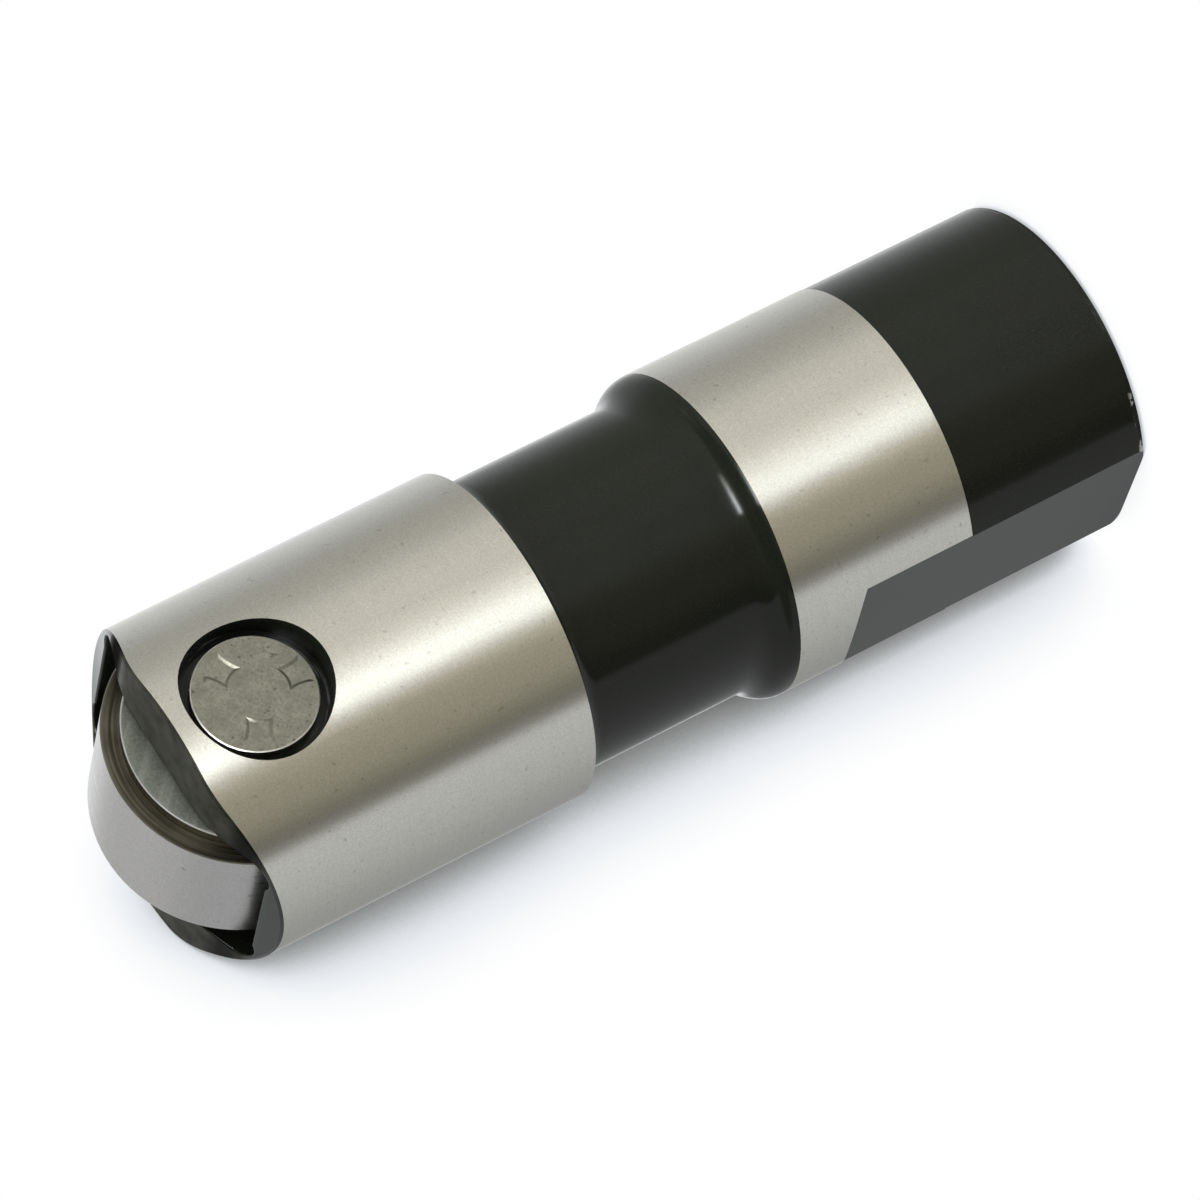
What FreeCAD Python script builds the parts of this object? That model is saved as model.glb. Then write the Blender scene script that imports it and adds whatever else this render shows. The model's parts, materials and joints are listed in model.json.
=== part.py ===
import FreeCAD, Part
import math
import os
import re
import Sketcher

# Hydraulic roller tappet for a V-twin engine, in millimetres.
# It stands on its pushrod end, on the plane Z = 0, with the cam roller at the top.
# Z is the axis of the body, and the roller's axle lies along Y.

# Driving sizes: name, value and what it measures
DRIVING_SIZES = (
    ("body_radius", 10.7, "ground lands that slide in the guide"),
    ("black_length", 12.9, "blackened part at the pushrod end"),
    ("black_step", 0.05, "by which that part is smaller in radius"),
    ("upper_land_length", 12.55, "ground land next to the blackened part"),
    ("waist_length", 14.6, "relieved waist between the two lands"),
    ("waist_depth", 1.17, "depth of the waist below the lands"),
    ("flare_length", 2.7, "rounded run from the waist up to the upper land"),
    ("lower_land_length", 23.9, "ground land that carries the roller"),
    ("foot_rounding", 0.6, "rounded edge of the pushrod end"),
    ("end_edge_break", 0.15, "edge break of the roller end"),
    ("ridge_offset", 4.7, "from the axis to each ridge of the roller end"),
    ("shoulder_angle", 20.5, "fall of the roller end beyond its ridges, in degrees"),
    ("ridge_rounding", 8.0, "rounding of those ridges"),
    ("flat_depth", 1.1, "depth of each anti-rotation flat below the land"),
    ("flat_length", 20.55, "length of the flats from the pushrod end"),
    ("flat_end_angle", 45.0, "slope at the end of each flat, in degrees"),
    ("pin_depth", 5.85, "from the roller end down to the axle"),
    ("pin_radius", 3.8, "roller axle"),
    ("pin_recess", 1.31, "ends of the axle below the land"),
    ("pin_chamfer", 0.13, "edge of the axle's ends"),
    ("pin_fit", 0.01, "radial clearance of the axle in the ears"),
    ("counterbore_radius", 4.59, "recess round each end of the axle"),
    ("counterbore_depth", 2.3, "depth of that recess below the land"),
    ("stake_depth", 0.1, "depth of the stake marks in the axle's ends"),
    ("stake_wall_angle", 68.0, "lean of a stake mark's walls, in degrees"),
    ("stake_offset", 0.24, "by which the punch stood below the axle's middle"),
    ("stake_inner_radius", 1.8, "inner side of a stake mark"),
    ("stake_inner_half_width", 0.85, "half of that side"),
    ("stake_outer_radius", 3.4, "outer side of a stake mark"),
    ("stake_outer_half_width", 1.0, "half of that side"),
    ("stake_side_radius", 2.7, "hollow flanks of a stake mark"),
    ("roller_width", 8.9, "width of the cam roller"),
    ("roller_chamfer", 0.07, "edges of the tread and the race"),
    ("needle_radius", 0.8, "bearing needles"),
    ("needle_gap", 0.03, "least gap from one needle to the next"),
    ("needle_end_gap", 0.15, "from a needle's end to the thrust washer"),
    ("needle_rounding", 0.25, "rounded ends of a needle"),
    ("race_clearance", 0.02, "radial clearance of the needles at each race"),
    ("washer_radius", 7.5, "thrust washers beside the roller"),
    ("washer_thickness", 0.95, "thickness of a thrust washer"),
    ("washer_chamfer", 0.12, "edges of a thrust washer"),
    ("washer_fit", 0.03, "radial clearance of a washer on the axle"),
    ("thrust_gap", 0.02, "from the roller to each washer"),
    ("slot_side_gap", 0.45, "from a washer to the wall of the pocket"),
    ("end_wall", 1.7, "wall of the body beyond each end of the pocket"),
    ("pocket_gap", 0.4, "from that wall to the roller's tread"),
    ("pocket_corner_radius", 1.5, "corners of the pocket"),
    ("corner_relief", 0.2, "by which those corners reach past the pocket's ends"),
    ("pocket_edge_break", 0.12, "edge of the pocket's mouth"),
    ("web_thickness", 3.4, "metal between the pocket and the plunger bore"),
    ("bore_radius", 7.95, "plunger bore"),
    ("bore_chamfer", 0.4, "mouth of the plunger bore"),
    ("feed_hole_radius", 0.9, "oil feed hole in the waist"),
    ("feed_hole_rise", 4.3, "from the foot of the waist to the feed hole"),
    ("clip_height", 3.9, "middle of the clip's groove"),
    ("clip_wire_radius", 0.6, "wire of the retaining clip"),
    ("clip_groove_depth", 0.65, "depth of the clip's groove"),
    ("clip_opening", 32.0, "opening of the clip, in degrees"),
    ("clip_fit", 0.03, "clearance of the clip in its groove"),
    ("clip_to_seat_gap", 0.05, "from the clip to the pushrod seat"),
    ("plunger_fit", 0.03, "radial clearance of the plunger and the seat"),
    ("seat_height", 6.4, "pushrod seat"),
    ("seat_chamfer", 0.3, "outer edges of the seat"),
    ("socket_radius", 4.05, "hollow for the pushrod's ball end"),
    ("socket_chamfer", 0.6, "mouth of the socket"),
    ("seat_hole_radius", 0.7, "oil hole of the seat"),
    ("disc_radius", 6.1, "metering disc"),
    ("disc_thickness", 0.4, "thickness of the metering disc"),
    ("disc_hole_radius", 0.45, "hole of the metering disc"),
    ("disc_clearance", 0.05, "play of the disc in its recess"),
    ("plunger_length", 24.2, "plunger"),
    ("plunger_chamfer", 0.3, "outer edges of the plunger"),
    ("reservoir_radius", 5.5, "oil reservoir in the plunger"),
    ("valve_wall", 2.4, "wall between the reservoir and the check ball"),
    ("plunger_travel", 4.8, "travel of the plunger"),
    ("plunger_groove_depth", 0.45, "oil groove round the plunger"),
    ("cross_hole_radius", 0.9, "hole from that groove to the reservoir"),
    ("valve_hole_radius", 1.3, "hole under the check ball"),
    ("valve_cone_depth", 0.5, "ground cone round that hole"),
    ("ball_radius", 2.0, "check ball"),
    ("ball_clearance", 0.03, "film between the ball and its seat"),
    ("ball_lift", 0.6, "lift of the check ball"),
    ("cage_metal", 0.5, "sheet of the check valve cage"),
    ("cage_side_gap", 0.35, "from the ball to the cage round it"),
    ("cage_headroom", 1.25, "from the ball to the top of the cage"),
    ("cage_flange_radius", 5.9, "flange of the cage"),
    ("cage_flange_fit", 0.05, "clearance of the flange in its recess"),
    ("cage_window_radius", 0.75, "oil windows of the cage"),
    ("check_coil_radius", 1.15, "mean radius of the check spring"),
    ("check_wire_radius", 0.13, "wire of the check spring"),
    ("check_turns", 2.5, "turns of the check spring"),
    ("check_clearance", 0.03, "from the check spring to the ball"),
    ("plunger_coil_radius", 4.95, "mean radius of the plunger spring"),
    ("plunger_wire_radius", 0.65, "wire of the plunger spring"),
    ("plunger_turns", 4.0, "turns of the plunger spring"),
)

# Heights and radii that follow from the driving sizes
UPPER_LAND_FOOT = "black_length"
WAIST_FOOT = f"({UPPER_LAND_FOOT} + upper_land_length)"
LOWER_LAND_FOOT = f"({WAIST_FOOT} + waist_length)"
BODY_LENGTH = f"({LOWER_LAND_FOOT} + lower_land_length)"
PIN_HEIGHT = f"({BODY_LENGTH} - pin_depth)"
PIN_HALF_LENGTH = "(body_radius - pin_recess)"
POCKET_RADIUS = "(body_radius - end_wall)"
ROLLER_RADIUS = f"({POCKET_RADIUS} - pocket_gap)"
WASHER_NEAR_FACE = "(roller_width / 2 + thrust_gap)"
SLOT_HALF_WIDTH = f"({WASHER_NEAR_FACE} + washer_thickness + slot_side_gap)"
BORE_END = f"({PIN_HEIGHT} - {POCKET_RADIUS} - web_thickness)"
FEED_HOLE_HEIGHT = f"({WAIST_FOOT} + feed_hole_rise)"
CLIP_GROOVE_RADIUS = "(bore_radius + clip_groove_depth)"
NEEDLE_CIRCLE = "(pin_radius + race_clearance + needle_radius)"
OUTER_RACE = f"({NEEDLE_CIRCLE} + needle_radius + race_clearance)"
SEAT_FOOT = "(clip_height + clip_wire_radius + clip_to_seat_gap)"
PLUNGER_FOOT = f"({SEAT_FOOT} + seat_height)"
PLUNGER_RADIUS = "(bore_radius - plunger_fit)"
FLANGE_RECESS_DEPTH = "(cage_metal + cage_flange_fit)"
VALVE_FACE = f"({PLUNGER_FOOT} + plunger_length - {FLANGE_RECESS_DEPTH})"
DISC_RECESS_DEPTH = "(disc_thickness + disc_clearance)"
BALL_HEIGHT = (
    f"({VALVE_FACE} - valve_cone_depth - valve_hole_radius"
    " + sqrt(2) * (ball_radius + ball_clearance))"
)
CAGE_INNER_RADIUS = "(ball_radius + cage_side_gap)"
CAGE_TOP = f"({BALL_HEIGHT} + ball_radius + cage_headroom)"
CHECK_COIL_INSIDE = "(check_coil_radius - check_wire_radius)"
CHECK_SPRING_FOOT = (
    f"({BALL_HEIGHT} + check_clearance"
    f" + sqrt(ball_radius ^ 2 - {CHECK_COIL_INSIDE} ^ 2))"
)
PLUNGER_SPRING_FOOT = f"({VALVE_FACE} + cage_metal)"

# Sense of an arc from its first corner to its second
LEFT_TURN = 1
RIGHT_TURN = -1
QUARTER_TURN = 90.0
FULL_TURN = 360.0
STAKE_MARKS = 3
CAGE_WINDOWS = 4
BEYOND = 2.0
TOUCHING = 1e-3
UPWARD = 0.9

doc = FreeCAD.newDocument("Tappet")
sheet = doc.addObject("Spreadsheet::Sheet", "Sizes")
parts = []


def fill_sheet():
    """Writes each driving size as one row: name, value, note."""
    for row, (name, number, note) in enumerate(DRIVING_SIZES, start=1):
        sheet.set(f"A{row}", name)
        sheet.set(f"B{row}", str(number))
        sheet.set(f"C{row}", note)
        sheet.setAlias(f"B{row}", name)
    doc.recompute()


def tied(expression):
    """The expression with each size name looked up in the sheet."""
    return re.sub(r"\b[a-z_]+\b(?!\()", lambda name: "Sizes." + name.group(), expression)


def measure(expression):
    """The number that an expression of sizes gives now."""
    return float(sheet.evalExpression(expression))


def bind(thing, field, expression):
    """Ties a property or constraint to the sheet."""
    thing.setExpression(field, tied(expression))


def new_body(name):
    """An empty body that will be one piece of the tappet."""
    body = doc.addObject("PartDesign::Body", name)
    body.Label = name
    parts.append(body)
    return body


def origin_feature(body, role):
    """The body's own plane or axis with this role."""
    for feature in body.Origin.OriginFeatures:
        if feature.Role == role:
            return feature
    raise LookupError(role)


def new_sketch(body, name, plane):
    """An empty sketch on one of the body's own planes."""
    sketch = body.newObject("Sketcher::SketchObject", name)
    sketch.AttachmentSupport = [(origin_feature(body, plane), "")]
    sketch.MapMode = "FlatFace"
    return sketch


def fix_point(sketch, geometry, point, across, along):
    """Holds a point of the sketch at two distances from its origin."""
    for kind, axis, distance in (("DistanceX", -2, across), ("DistanceY", -1, along)):
        if distance == "0":
            sketch.addConstraint(Sketcher.Constraint("PointOnObject", geometry, point, axis))
            continue
        rule = Sketcher.Constraint(kind, -1, 1, geometry, point, measure(distance))
        index = sketch.addConstraint(rule)
        bind(sketch, f"Constraints[{index}]", distance)


def arc_between(start, finish, radius, turn):
    """The shorter arc from start to finish, turning left or right."""
    half = (finish - start) / 2
    rise = math.sqrt(max(radius ** 2 - half.Length ** 2, 0.0))
    aside = FreeCAD.Vector(-half.y, half.x, 0) / half.Length * rise * turn
    centre = start + half + aside
    first, last = (start, finish) if turn == LEFT_TURN else (finish, start)
    angles = [math.atan2(end.y - centre.y, end.x - centre.x) for end in (first, last)]
    if angles[1] < angles[0]:
        angles[1] += 2 * math.pi
    circle = Part.Circle(centre, FreeCAD.Vector(0, 0, 1), radius)
    return Part.ArcOfCircle(circle, angles[0], angles[1])


def draw_outline(sketch, corners, arcs=None):
    """A closed outline through the corners. arcs gives, for the number of a side,
    the radius of its arc and the way it turns; the other sides are straight."""
    arcs = arcs or {}
    points = [FreeCAD.Vector(measure(x), measure(y), 0) for x, y in corners]
    sides = []
    for number, start in enumerate(points):
        finish = points[(number + 1) % len(points)]
        if number in arcs:
            radius, turn = arcs[number]
            side = sketch.addGeometry(arc_between(start, finish, measure(radius), turn), False)
            ends = (1, 2) if turn == LEFT_TURN else (2, 1)
        else:
            side = sketch.addGeometry(Part.LineSegment(start, finish), False)
            ends = (1, 2)
        sides.append((side, ends))
    for number, (side, ends) in enumerate(sides):
        following, following_ends = sides[(number + 1) % len(sides)]
        joint = Sketcher.Constraint("Coincident", side, ends[1], following, following_ends[0])
        sketch.addConstraint(joint)
        fix_point(sketch, side, ends[0], *corners[number])
    for number, (radius, turn) in arcs.items():
        index = sketch.addConstraint(
            Sketcher.Constraint("Radius", sides[number][0], measure(radius)))
        bind(sketch, f"Constraints[{index}]", radius)


def draw_circle(sketch, across, along, radius):
    """A circle at two distances from the sketch's origin."""
    centre = FreeCAD.Vector(measure(across), measure(along), 0)
    circle = Part.Circle(centre, FreeCAD.Vector(0, 0, 1), measure(radius))
    index = sketch.addGeometry(circle, False)
    fix_point(sketch, index, 3, across, along)
    rule = sketch.addConstraint(Sketcher.Constraint("Radius", index, measure(radius)))
    bind(sketch, f"Constraints[{rule}]", radius)


def turned(body, name, sketch, cut=False):
    """The sketch turned once round its vertical axis, added or cut."""
    kind = "PartDesign::Groove" if cut else "PartDesign::Revolution"
    feature = body.newObject(kind, name)
    feature.Profile = sketch
    feature.ReferenceAxis = (sketch, ["V_Axis"])
    feature.Angle = FULL_TURN
    doc.recompute()
    return feature


def pocket(body, name, sketch, depth=None, midplane=False, reverse=False, lean=None):
    """A cut along the sketch's normal, right through where no depth is given. lean
    tilts its walls, so that it narrows with depth."""
    before = body.Shape.Volume
    feature = body.newObject("PartDesign::Pocket", name)
    feature.Profile = sketch
    feature.Midplane = midplane
    feature.Reversed = reverse
    if depth is None:
        feature.Type = "ThroughAll"
    else:
        feature.Type = "Length"
        bind(feature, "Length", depth)
    if lean:
        bind(feature, "TaperAngle", f"-{lean}")
    doc.recompute()
    if body.Shape.Volume >= before:
        raise ValueError(f"{name} cuts nothing")
    return feature


def mirrored(body, name, feature, plane):
    """The same feature again on the other side of one of the body's planes."""
    twin = body.newObject("PartDesign::Mirrored", name)
    twin.Originals = [feature]
    twin.MirrorPlane = (origin_feature(body, plane), [""])
    body.Tip = twin
    doc.recompute()
    return twin


def spaced_round(body, name, feature, axis, count):
    """The same feature repeated evenly round one of the body's axes."""
    pattern = body.newObject("PartDesign::PolarPattern", name)
    pattern.Originals = [feature]
    pattern.Axis = (origin_feature(body, axis), [""])
    pattern.Angle = FULL_TURN
    pattern.Occurrences = count
    body.Tip = pattern
    doc.recompute()
    return pattern


def edges_where(body, test):
    """Names of the edges of the body so far that pass a test."""
    return [f"Edge{number}" for number, edge in enumerate(body.Shape.Edges, start=1) if test(edge)]


def dress_edges(body, name, kind, size, test):
    """A fillet or chamfer on the edges that pass a test."""
    base = body.Tip
    edges = edges_where(body, test)
    feature = body.newObject(f"PartDesign::{kind}", name)
    feature.Base = (base, edges)
    bind(feature, "Radius" if kind == "Fillet" else "Size", size)
    doc.recompute()
    return feature


def end_faces(body, edge):
    """For each face at the edge, whether it is one of the roller end's own."""
    end_foot = measure(f"{BODY_LENGTH} - (body_radius - ridge_offset) * tan(shoulder_angle)")
    verdicts = []
    for face in body.Shape.ancestorsOfType(edge, Part.Face):
        first, last, low, high = face.ParameterRange
        upright = face.normalAt((first + last) / 2, (low + high) / 2).z > UPWARD
        verdicts.append(upright and face.BoundBox.ZMin > end_foot - TOUCHING)
    return verdicts


def borders_roller_end(body, edge):
    """True where the roller end lies on one side of the edge only."""
    return sum(end_faces(body, edge)) == 1


def put(body, across, depth, height):
    """Places a piece with its own origin at a point of the tappet."""
    for axis, distance in (("x", across), ("y", depth), ("z", height)):
        if distance != "0":
            bind(body, f"Placement.Base.{axis}", distance)


def body_blank(body):
    """Outside of the body: blackened end, upper land, waist and lower land."""
    black_radius = "(body_radius - black_step)"
    waist_radius = "(body_radius - waist_depth)"
    sketch = new_sketch(body, "body_outline", "XZ_Plane")
    corners = (
        ("0", "0"),
        (f"{black_radius} - foot_rounding", "0"),
        (black_radius, "foot_rounding"),
        (black_radius, UPPER_LAND_FOOT),
        ("body_radius", UPPER_LAND_FOOT),
        ("body_radius", WAIST_FOOT),
        ("body_radius - waist_depth / 2", f"{WAIST_FOOT} + flare_length / 2"),
        (waist_radius, f"{WAIST_FOOT} + flare_length"),
        (waist_radius, f"{LOWER_LAND_FOOT} - waist_depth"),
        ("body_radius", LOWER_LAND_FOOT),
        ("body_radius", BODY_LENGTH),
        ("0", BODY_LENGTH),
    )
    flare_radius = "(flare_length ^ 2 + waist_depth ^ 2) / (4 * waist_depth)"
    arcs = {
        1: ("foot_rounding", LEFT_TURN),
        5: (flare_radius, LEFT_TURN),
        6: (flare_radius, RIGHT_TURN),
        8: ("waist_depth", RIGHT_TURN),
    }
    draw_outline(sketch, corners, arcs)
    turned(body, "body_blank", sketch)


def shoulders_and_flats(body):
    """Sloping sides of the roller end, with rounded ridges, and the two anti-rotation
    flats, each with a sloping end."""
    reach = f"(body_radius + {BEYOND})"
    fall = f"({reach} - ridge_offset) * tan(shoulder_angle)"
    flat = "(body_radius - flat_depth)"
    rise = f"({reach} - {flat}) * tan(flat_end_angle)"
    ridge_half = "ridge_rounding * tan(shoulder_angle / 2)"
    sketch = new_sketch(body, "side_cuts", "XZ_Plane")
    draw_outline(sketch, (
        (f"ridge_offset - {ridge_half}", BODY_LENGTH),
        (f"ridge_offset + {ridge_half} * cos(shoulder_angle)",
         f"{BODY_LENGTH} - {ridge_half} * sin(shoulder_angle)"),
        (reach, f"{BODY_LENGTH} - {fall}"),
        (reach, BODY_LENGTH),
    ), {0: ("ridge_rounding", RIGHT_TURN)})
    draw_outline(sketch, (
        (flat, "0"),
        (reach, "0"),
        (reach, f"flat_length + {rise}"),
        (flat, "flat_length"),
    ))
    cut = pocket(body, "side_cut", sketch, midplane=True)
    mirrored(body, "side_cuts_mirrored", cut, "YZ_Plane")


def plunger_bore(body):
    """Bore for the plunger, with the clip's groove near its mouth."""
    half_groove = "(clip_wire_radius + clip_fit)"
    sketch = new_sketch(body, "bore_outline", "XZ_Plane")
    draw_outline(sketch, (
        ("0", "0"),
        ("bore_radius + bore_chamfer", "0"),
        ("bore_radius", "bore_chamfer"),
        ("bore_radius", f"clip_height - {half_groove}"),
        (CLIP_GROOVE_RADIUS, f"clip_height - {half_groove}"),
        (CLIP_GROOVE_RADIUS, f"clip_height + {half_groove}"),
        ("bore_radius", f"clip_height + {half_groove}"),
        ("bore_radius", BORE_END),
        ("0", BORE_END),
    ))
    turned(body, "plunger_bore", sketch, cut=True)


def feed_hole(body):
    """Oil feed hole through the wall of the waist, on the side away from the front."""
    sketch = new_sketch(body, "feed_hole_outline", "XZ_Plane")
    draw_circle(sketch, "0", FEED_HOLE_HEIGHT, "feed_hole_radius")
    pocket(body, "feed_hole", sketch)


def pin_axis(sketch):
    """Construction line of a sketch along the axle, to turn a profile round."""
    reach = f"body_radius + {BEYOND}"
    start = FreeCAD.Vector(0, measure(PIN_HEIGHT), 0)
    end = FreeCAD.Vector(measure(reach), measure(PIN_HEIGHT), 0)
    line = sketch.addGeometry(Part.LineSegment(start, end), True)
    fix_point(sketch, line, 1, "0", PIN_HEIGHT)
    fix_point(sketch, line, 2, reach, PIN_HEIGHT)


def cut_round_axle(body, name, sketch):
    """The sketch cut out once round the axle."""
    groove = body.newObject("PartDesign::Groove", name)
    groove.Profile = sketch
    groove.ReferenceAxis = (sketch, ["Axis0"])
    groove.Angle = FULL_TURN
    doc.recompute()
    return groove


def roller_pocket(body):
    """Pocket that the roller turns in: a floor turned round the axle, and above the
    axle a straight shaft up through the roller end, whose corners reach past its ends."""
    floor = new_sketch(body, "pocket_floor_outline", "YZ_Plane")
    rounding = "pocket_corner_radius"
    rim = f"({PIN_HEIGHT} + {POCKET_RADIUS})"
    draw_outline(floor, (
        (f"-{SLOT_HALF_WIDTH}", PIN_HEIGHT),
        (SLOT_HALF_WIDTH, PIN_HEIGHT),
        (SLOT_HALF_WIDTH, f"{rim} - {rounding}"),
        (f"{SLOT_HALF_WIDTH} - {rounding}", rim),
        (f"{rounding} - {SLOT_HALF_WIDTH}", rim),
        (f"-{SLOT_HALF_WIDTH}", f"{rim} - {rounding}"),
    ), {2: (rounding, LEFT_TURN), 4: (rounding, LEFT_TURN)})
    pin_axis(floor)
    cut_round_axle(body, "pocket_floor", floor)
    shaft = new_sketch(body, "pocket_shaft_outline", "XY_Plane")
    bind(shaft, "AttachmentOffset.Base.z", PIN_HEIGHT)
    straight_x = f"({POCKET_RADIUS} + corner_relief - {rounding})"
    relief_half = f"sqrt({rounding} ^ 2 - ({rounding} - corner_relief) ^ 2)"
    straight_y = f"({SLOT_HALF_WIDTH} - {rounding} - {relief_half})"
    draw_outline(shaft, (
        (POCKET_RADIUS, f"-{straight_y}"),
        (POCKET_RADIUS, straight_y),
        (straight_x, SLOT_HALF_WIDTH),
        (f"-{straight_x}", SLOT_HALF_WIDTH),
        (f"-{POCKET_RADIUS}", straight_y),
        (f"-{POCKET_RADIUS}", f"-{straight_y}"),
        (f"-{straight_x}", f"-{SLOT_HALF_WIDTH}"),
        (straight_x, f"-{SLOT_HALF_WIDTH}"),
    ), {side: (rounding, LEFT_TURN) for side in (1, 3, 5, 7)})
    pocket(body, "pocket_shaft", shaft, reverse=True)


def axle_bore(body):
    """Stepped cross bore: the axle's hole and a recess round each of its ends."""
    sketch = new_sketch(body, "axle_bore_outline", "YZ_Plane")
    hole_rim = f"({PIN_HEIGHT} + pin_radius + pin_fit)"
    recess_rim = f"({PIN_HEIGHT} + counterbore_radius)"
    recess_floor = "(body_radius - counterbore_depth)"
    reach = f"body_radius + {BEYOND}"
    draw_outline(sketch, (
        ("0", PIN_HEIGHT),
        (reach, PIN_HEIGHT),
        (reach, recess_rim),
        (recess_floor, recess_rim),
        (recess_floor, hole_rim),
        ("0", hole_rim),
    ))
    pin_axis(sketch)
    groove = cut_round_axle(body, "axle_bore", sketch)
    mirrored(body, "axle_bore_mirrored", groove, "XZ_Plane")


def edge_breaks(body):
    """Broken edges round the pocket's mouth and round the roller end."""
    land = measure("body_radius")

    def on_land(edge):
        point = edge.valueAt((edge.FirstParameter + edge.LastParameter) / 2)
        return abs(math.hypot(point.x, point.y) - land) < TOUCHING

    def round_mouth(edge):
        return borders_roller_end(body, edge) and not on_land(edge)

    def round_end(edge):
        return borders_roller_end(body, edge) and on_land(edge)

    dress_edges(body, "mouth_edge_break", "Fillet", "pocket_edge_break", round_mouth)
    dress_edges(body, "land_edge_break", "Chamfer", "end_edge_break", round_end)


def tappet_body():
    """One-piece body of the tappet."""
    body = new_body("tappet_body")
    body_blank(body)
    shoulders_and_flats(body)
    plunger_bore(body)
    feed_hole(body)
    roller_pocket(body)
    axle_bore(body)
    edge_breaks(body)


def cam_roller():
    """Outer ring of the roller bearing, which runs on the cam."""
    body = new_body("cam_roller")
    sketch = new_sketch(body, "roller_outline", "XY_Plane")
    half = "roller_width / 2"
    draw_outline(sketch, (
        (f"{OUTER_RACE} + roller_chamfer", f"-{half}"),
        (f"{ROLLER_RADIUS} - roller_chamfer", f"-{half}"),
        (ROLLER_RADIUS, f"-{half} + roller_chamfer"),
        (ROLLER_RADIUS, f"{half} - roller_chamfer"),
        (f"{ROLLER_RADIUS} - roller_chamfer", half),
        (f"{OUTER_RACE} + roller_chamfer", half),
        (OUTER_RACE, f"{half} - roller_chamfer"),
        (OUTER_RACE, f"-{half} + roller_chamfer"),
    ))
    turned(body, "roller_ring", sketch)
    put(body, "0", "0", PIN_HEIGHT)


def axle_pin():
    """Axle of the roller, staked at both ends."""
    body = new_body("axle_pin")
    sketch = new_sketch(body, "pin_outline", "XY_Plane")
    draw_outline(sketch, (
        ("0", f"-{PIN_HALF_LENGTH}"),
        ("pin_radius - pin_chamfer", f"-{PIN_HALF_LENGTH}"),
        ("pin_radius", f"-{PIN_HALF_LENGTH} + pin_chamfer"),
        ("pin_radius", f"{PIN_HALF_LENGTH} - pin_chamfer"),
        ("pin_radius - pin_chamfer", PIN_HALF_LENGTH),
        ("0", PIN_HALF_LENGTH),
    ))
    turned(body, "pin_blank", sketch)
    stake_marks(body, "front", f"{PIN_HALF_LENGTH}", False)
    stake_marks(body, "back", f"-{PIN_HALF_LENGTH}", True)
    put(body, "0", "0", PIN_HEIGHT)


def stake_marks(body, end, offset, reverse):
    """Three shallow marks with sloping walls in one end of the axle, from the staking
    punch, which stood a little off the middle."""
    sketch = new_sketch(body, f"{end}_stake_outlines", "XZ_Plane")
    bind(sketch, "AttachmentOffset.Base.z", offset)
    inner = "sqrt(stake_inner_radius ^ 2 - stake_inner_half_width ^ 2)"
    outer = "sqrt(stake_outer_radius ^ 2 - stake_outer_half_width ^ 2)"
    outline = (
        ("stake_inner_half_width", f"-{inner}"),
        ("-stake_inner_half_width", f"-{inner}"),
        ("-stake_outer_half_width", f"-{outer}"),
        ("stake_outer_half_width", f"-{outer}"),
    )
    arcs = {
        0: ("stake_inner_radius", RIGHT_TURN),
        1: ("stake_side_radius", RIGHT_TURN),
        2: ("stake_outer_radius", LEFT_TURN),
        3: ("stake_side_radius", RIGHT_TURN),
    }
    for number in range(STAKE_MARKS):
        turn = FULL_TURN * number / STAKE_MARKS
        draw_outline(sketch, [
            (f"({x}) * cos({turn}) - ({y}) * sin({turn})",
             f"({x}) * sin({turn}) + ({y}) * cos({turn}) - stake_offset")
            for x, y in outline
        ], arcs)
    pocket(body, f"{end}_stake_marks", sketch, "stake_depth", reverse=reverse, lean="stake_wall_angle")


def thrust_washer(name, turn):
    """Washer between the roller and one ear; turn is 0 at the back, 180 in front."""
    body = new_body(name)
    sketch = new_sketch(body, f"{name}_outline", "XY_Plane")
    hole_radius = "(pin_radius + washer_fit)"
    outer_face = f"({WASHER_NEAR_FACE} + washer_thickness)"
    draw_outline(sketch, (
        (hole_radius, WASHER_NEAR_FACE),
        ("washer_radius - washer_chamfer", WASHER_NEAR_FACE),
        ("washer_radius", f"{WASHER_NEAR_FACE} + washer_chamfer"),
        ("washer_radius", f"{outer_face} - washer_chamfer"),
        ("washer_radius - washer_chamfer", outer_face),
        (hole_radius, outer_face),
    ))
    turned(body, f"{name}_ring", sketch)
    body.Placement = FreeCAD.Placement(
        FreeCAD.Vector(0, 0, 0), FreeCAD.Rotation(FreeCAD.Vector(0, 0, 1), turn))
    put(body, "0", "0", PIN_HEIGHT)


def bearing_needle(name, angle):
    """One needle, at an angle round the axle from straight up."""
    body = new_body(name)
    sketch = new_sketch(body, f"{name}_outline", "XY_Plane")
    half = "(roller_width / 2 + thrust_gap - needle_end_gap)"
    draw_outline(sketch, (
        ("0", f"-{half}"),
        ("needle_radius - needle_rounding", f"-{half}"),
        ("needle_radius", f"-{half} + needle_rounding"),
        ("needle_radius", f"{half} - needle_rounding"),
        ("needle_radius - needle_rounding", half),
        ("0", half),
    ), {1: ("needle_rounding", LEFT_TURN), 3: ("needle_rounding", LEFT_TURN)})
    turned(body, f"{name}_roll", sketch)
    put(body, f"{NEEDLE_CIRCLE} * sin({angle})", "0",
        f"{PIN_HEIGHT} + {NEEDLE_CIRCLE} * cos({angle})")


def needle_bearing():
    """Full ring of needles: as many as fit round the axle with the least gap."""
    half_pitch = measure(f"(needle_radius + needle_gap / 2) / {NEEDLE_CIRCLE}")
    count = int(math.pi / math.asin(half_pitch))
    for number in range(count):
        bearing_needle(f"bearing_needle_{number + 1:02d}", FULL_TURN * number / count)


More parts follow.
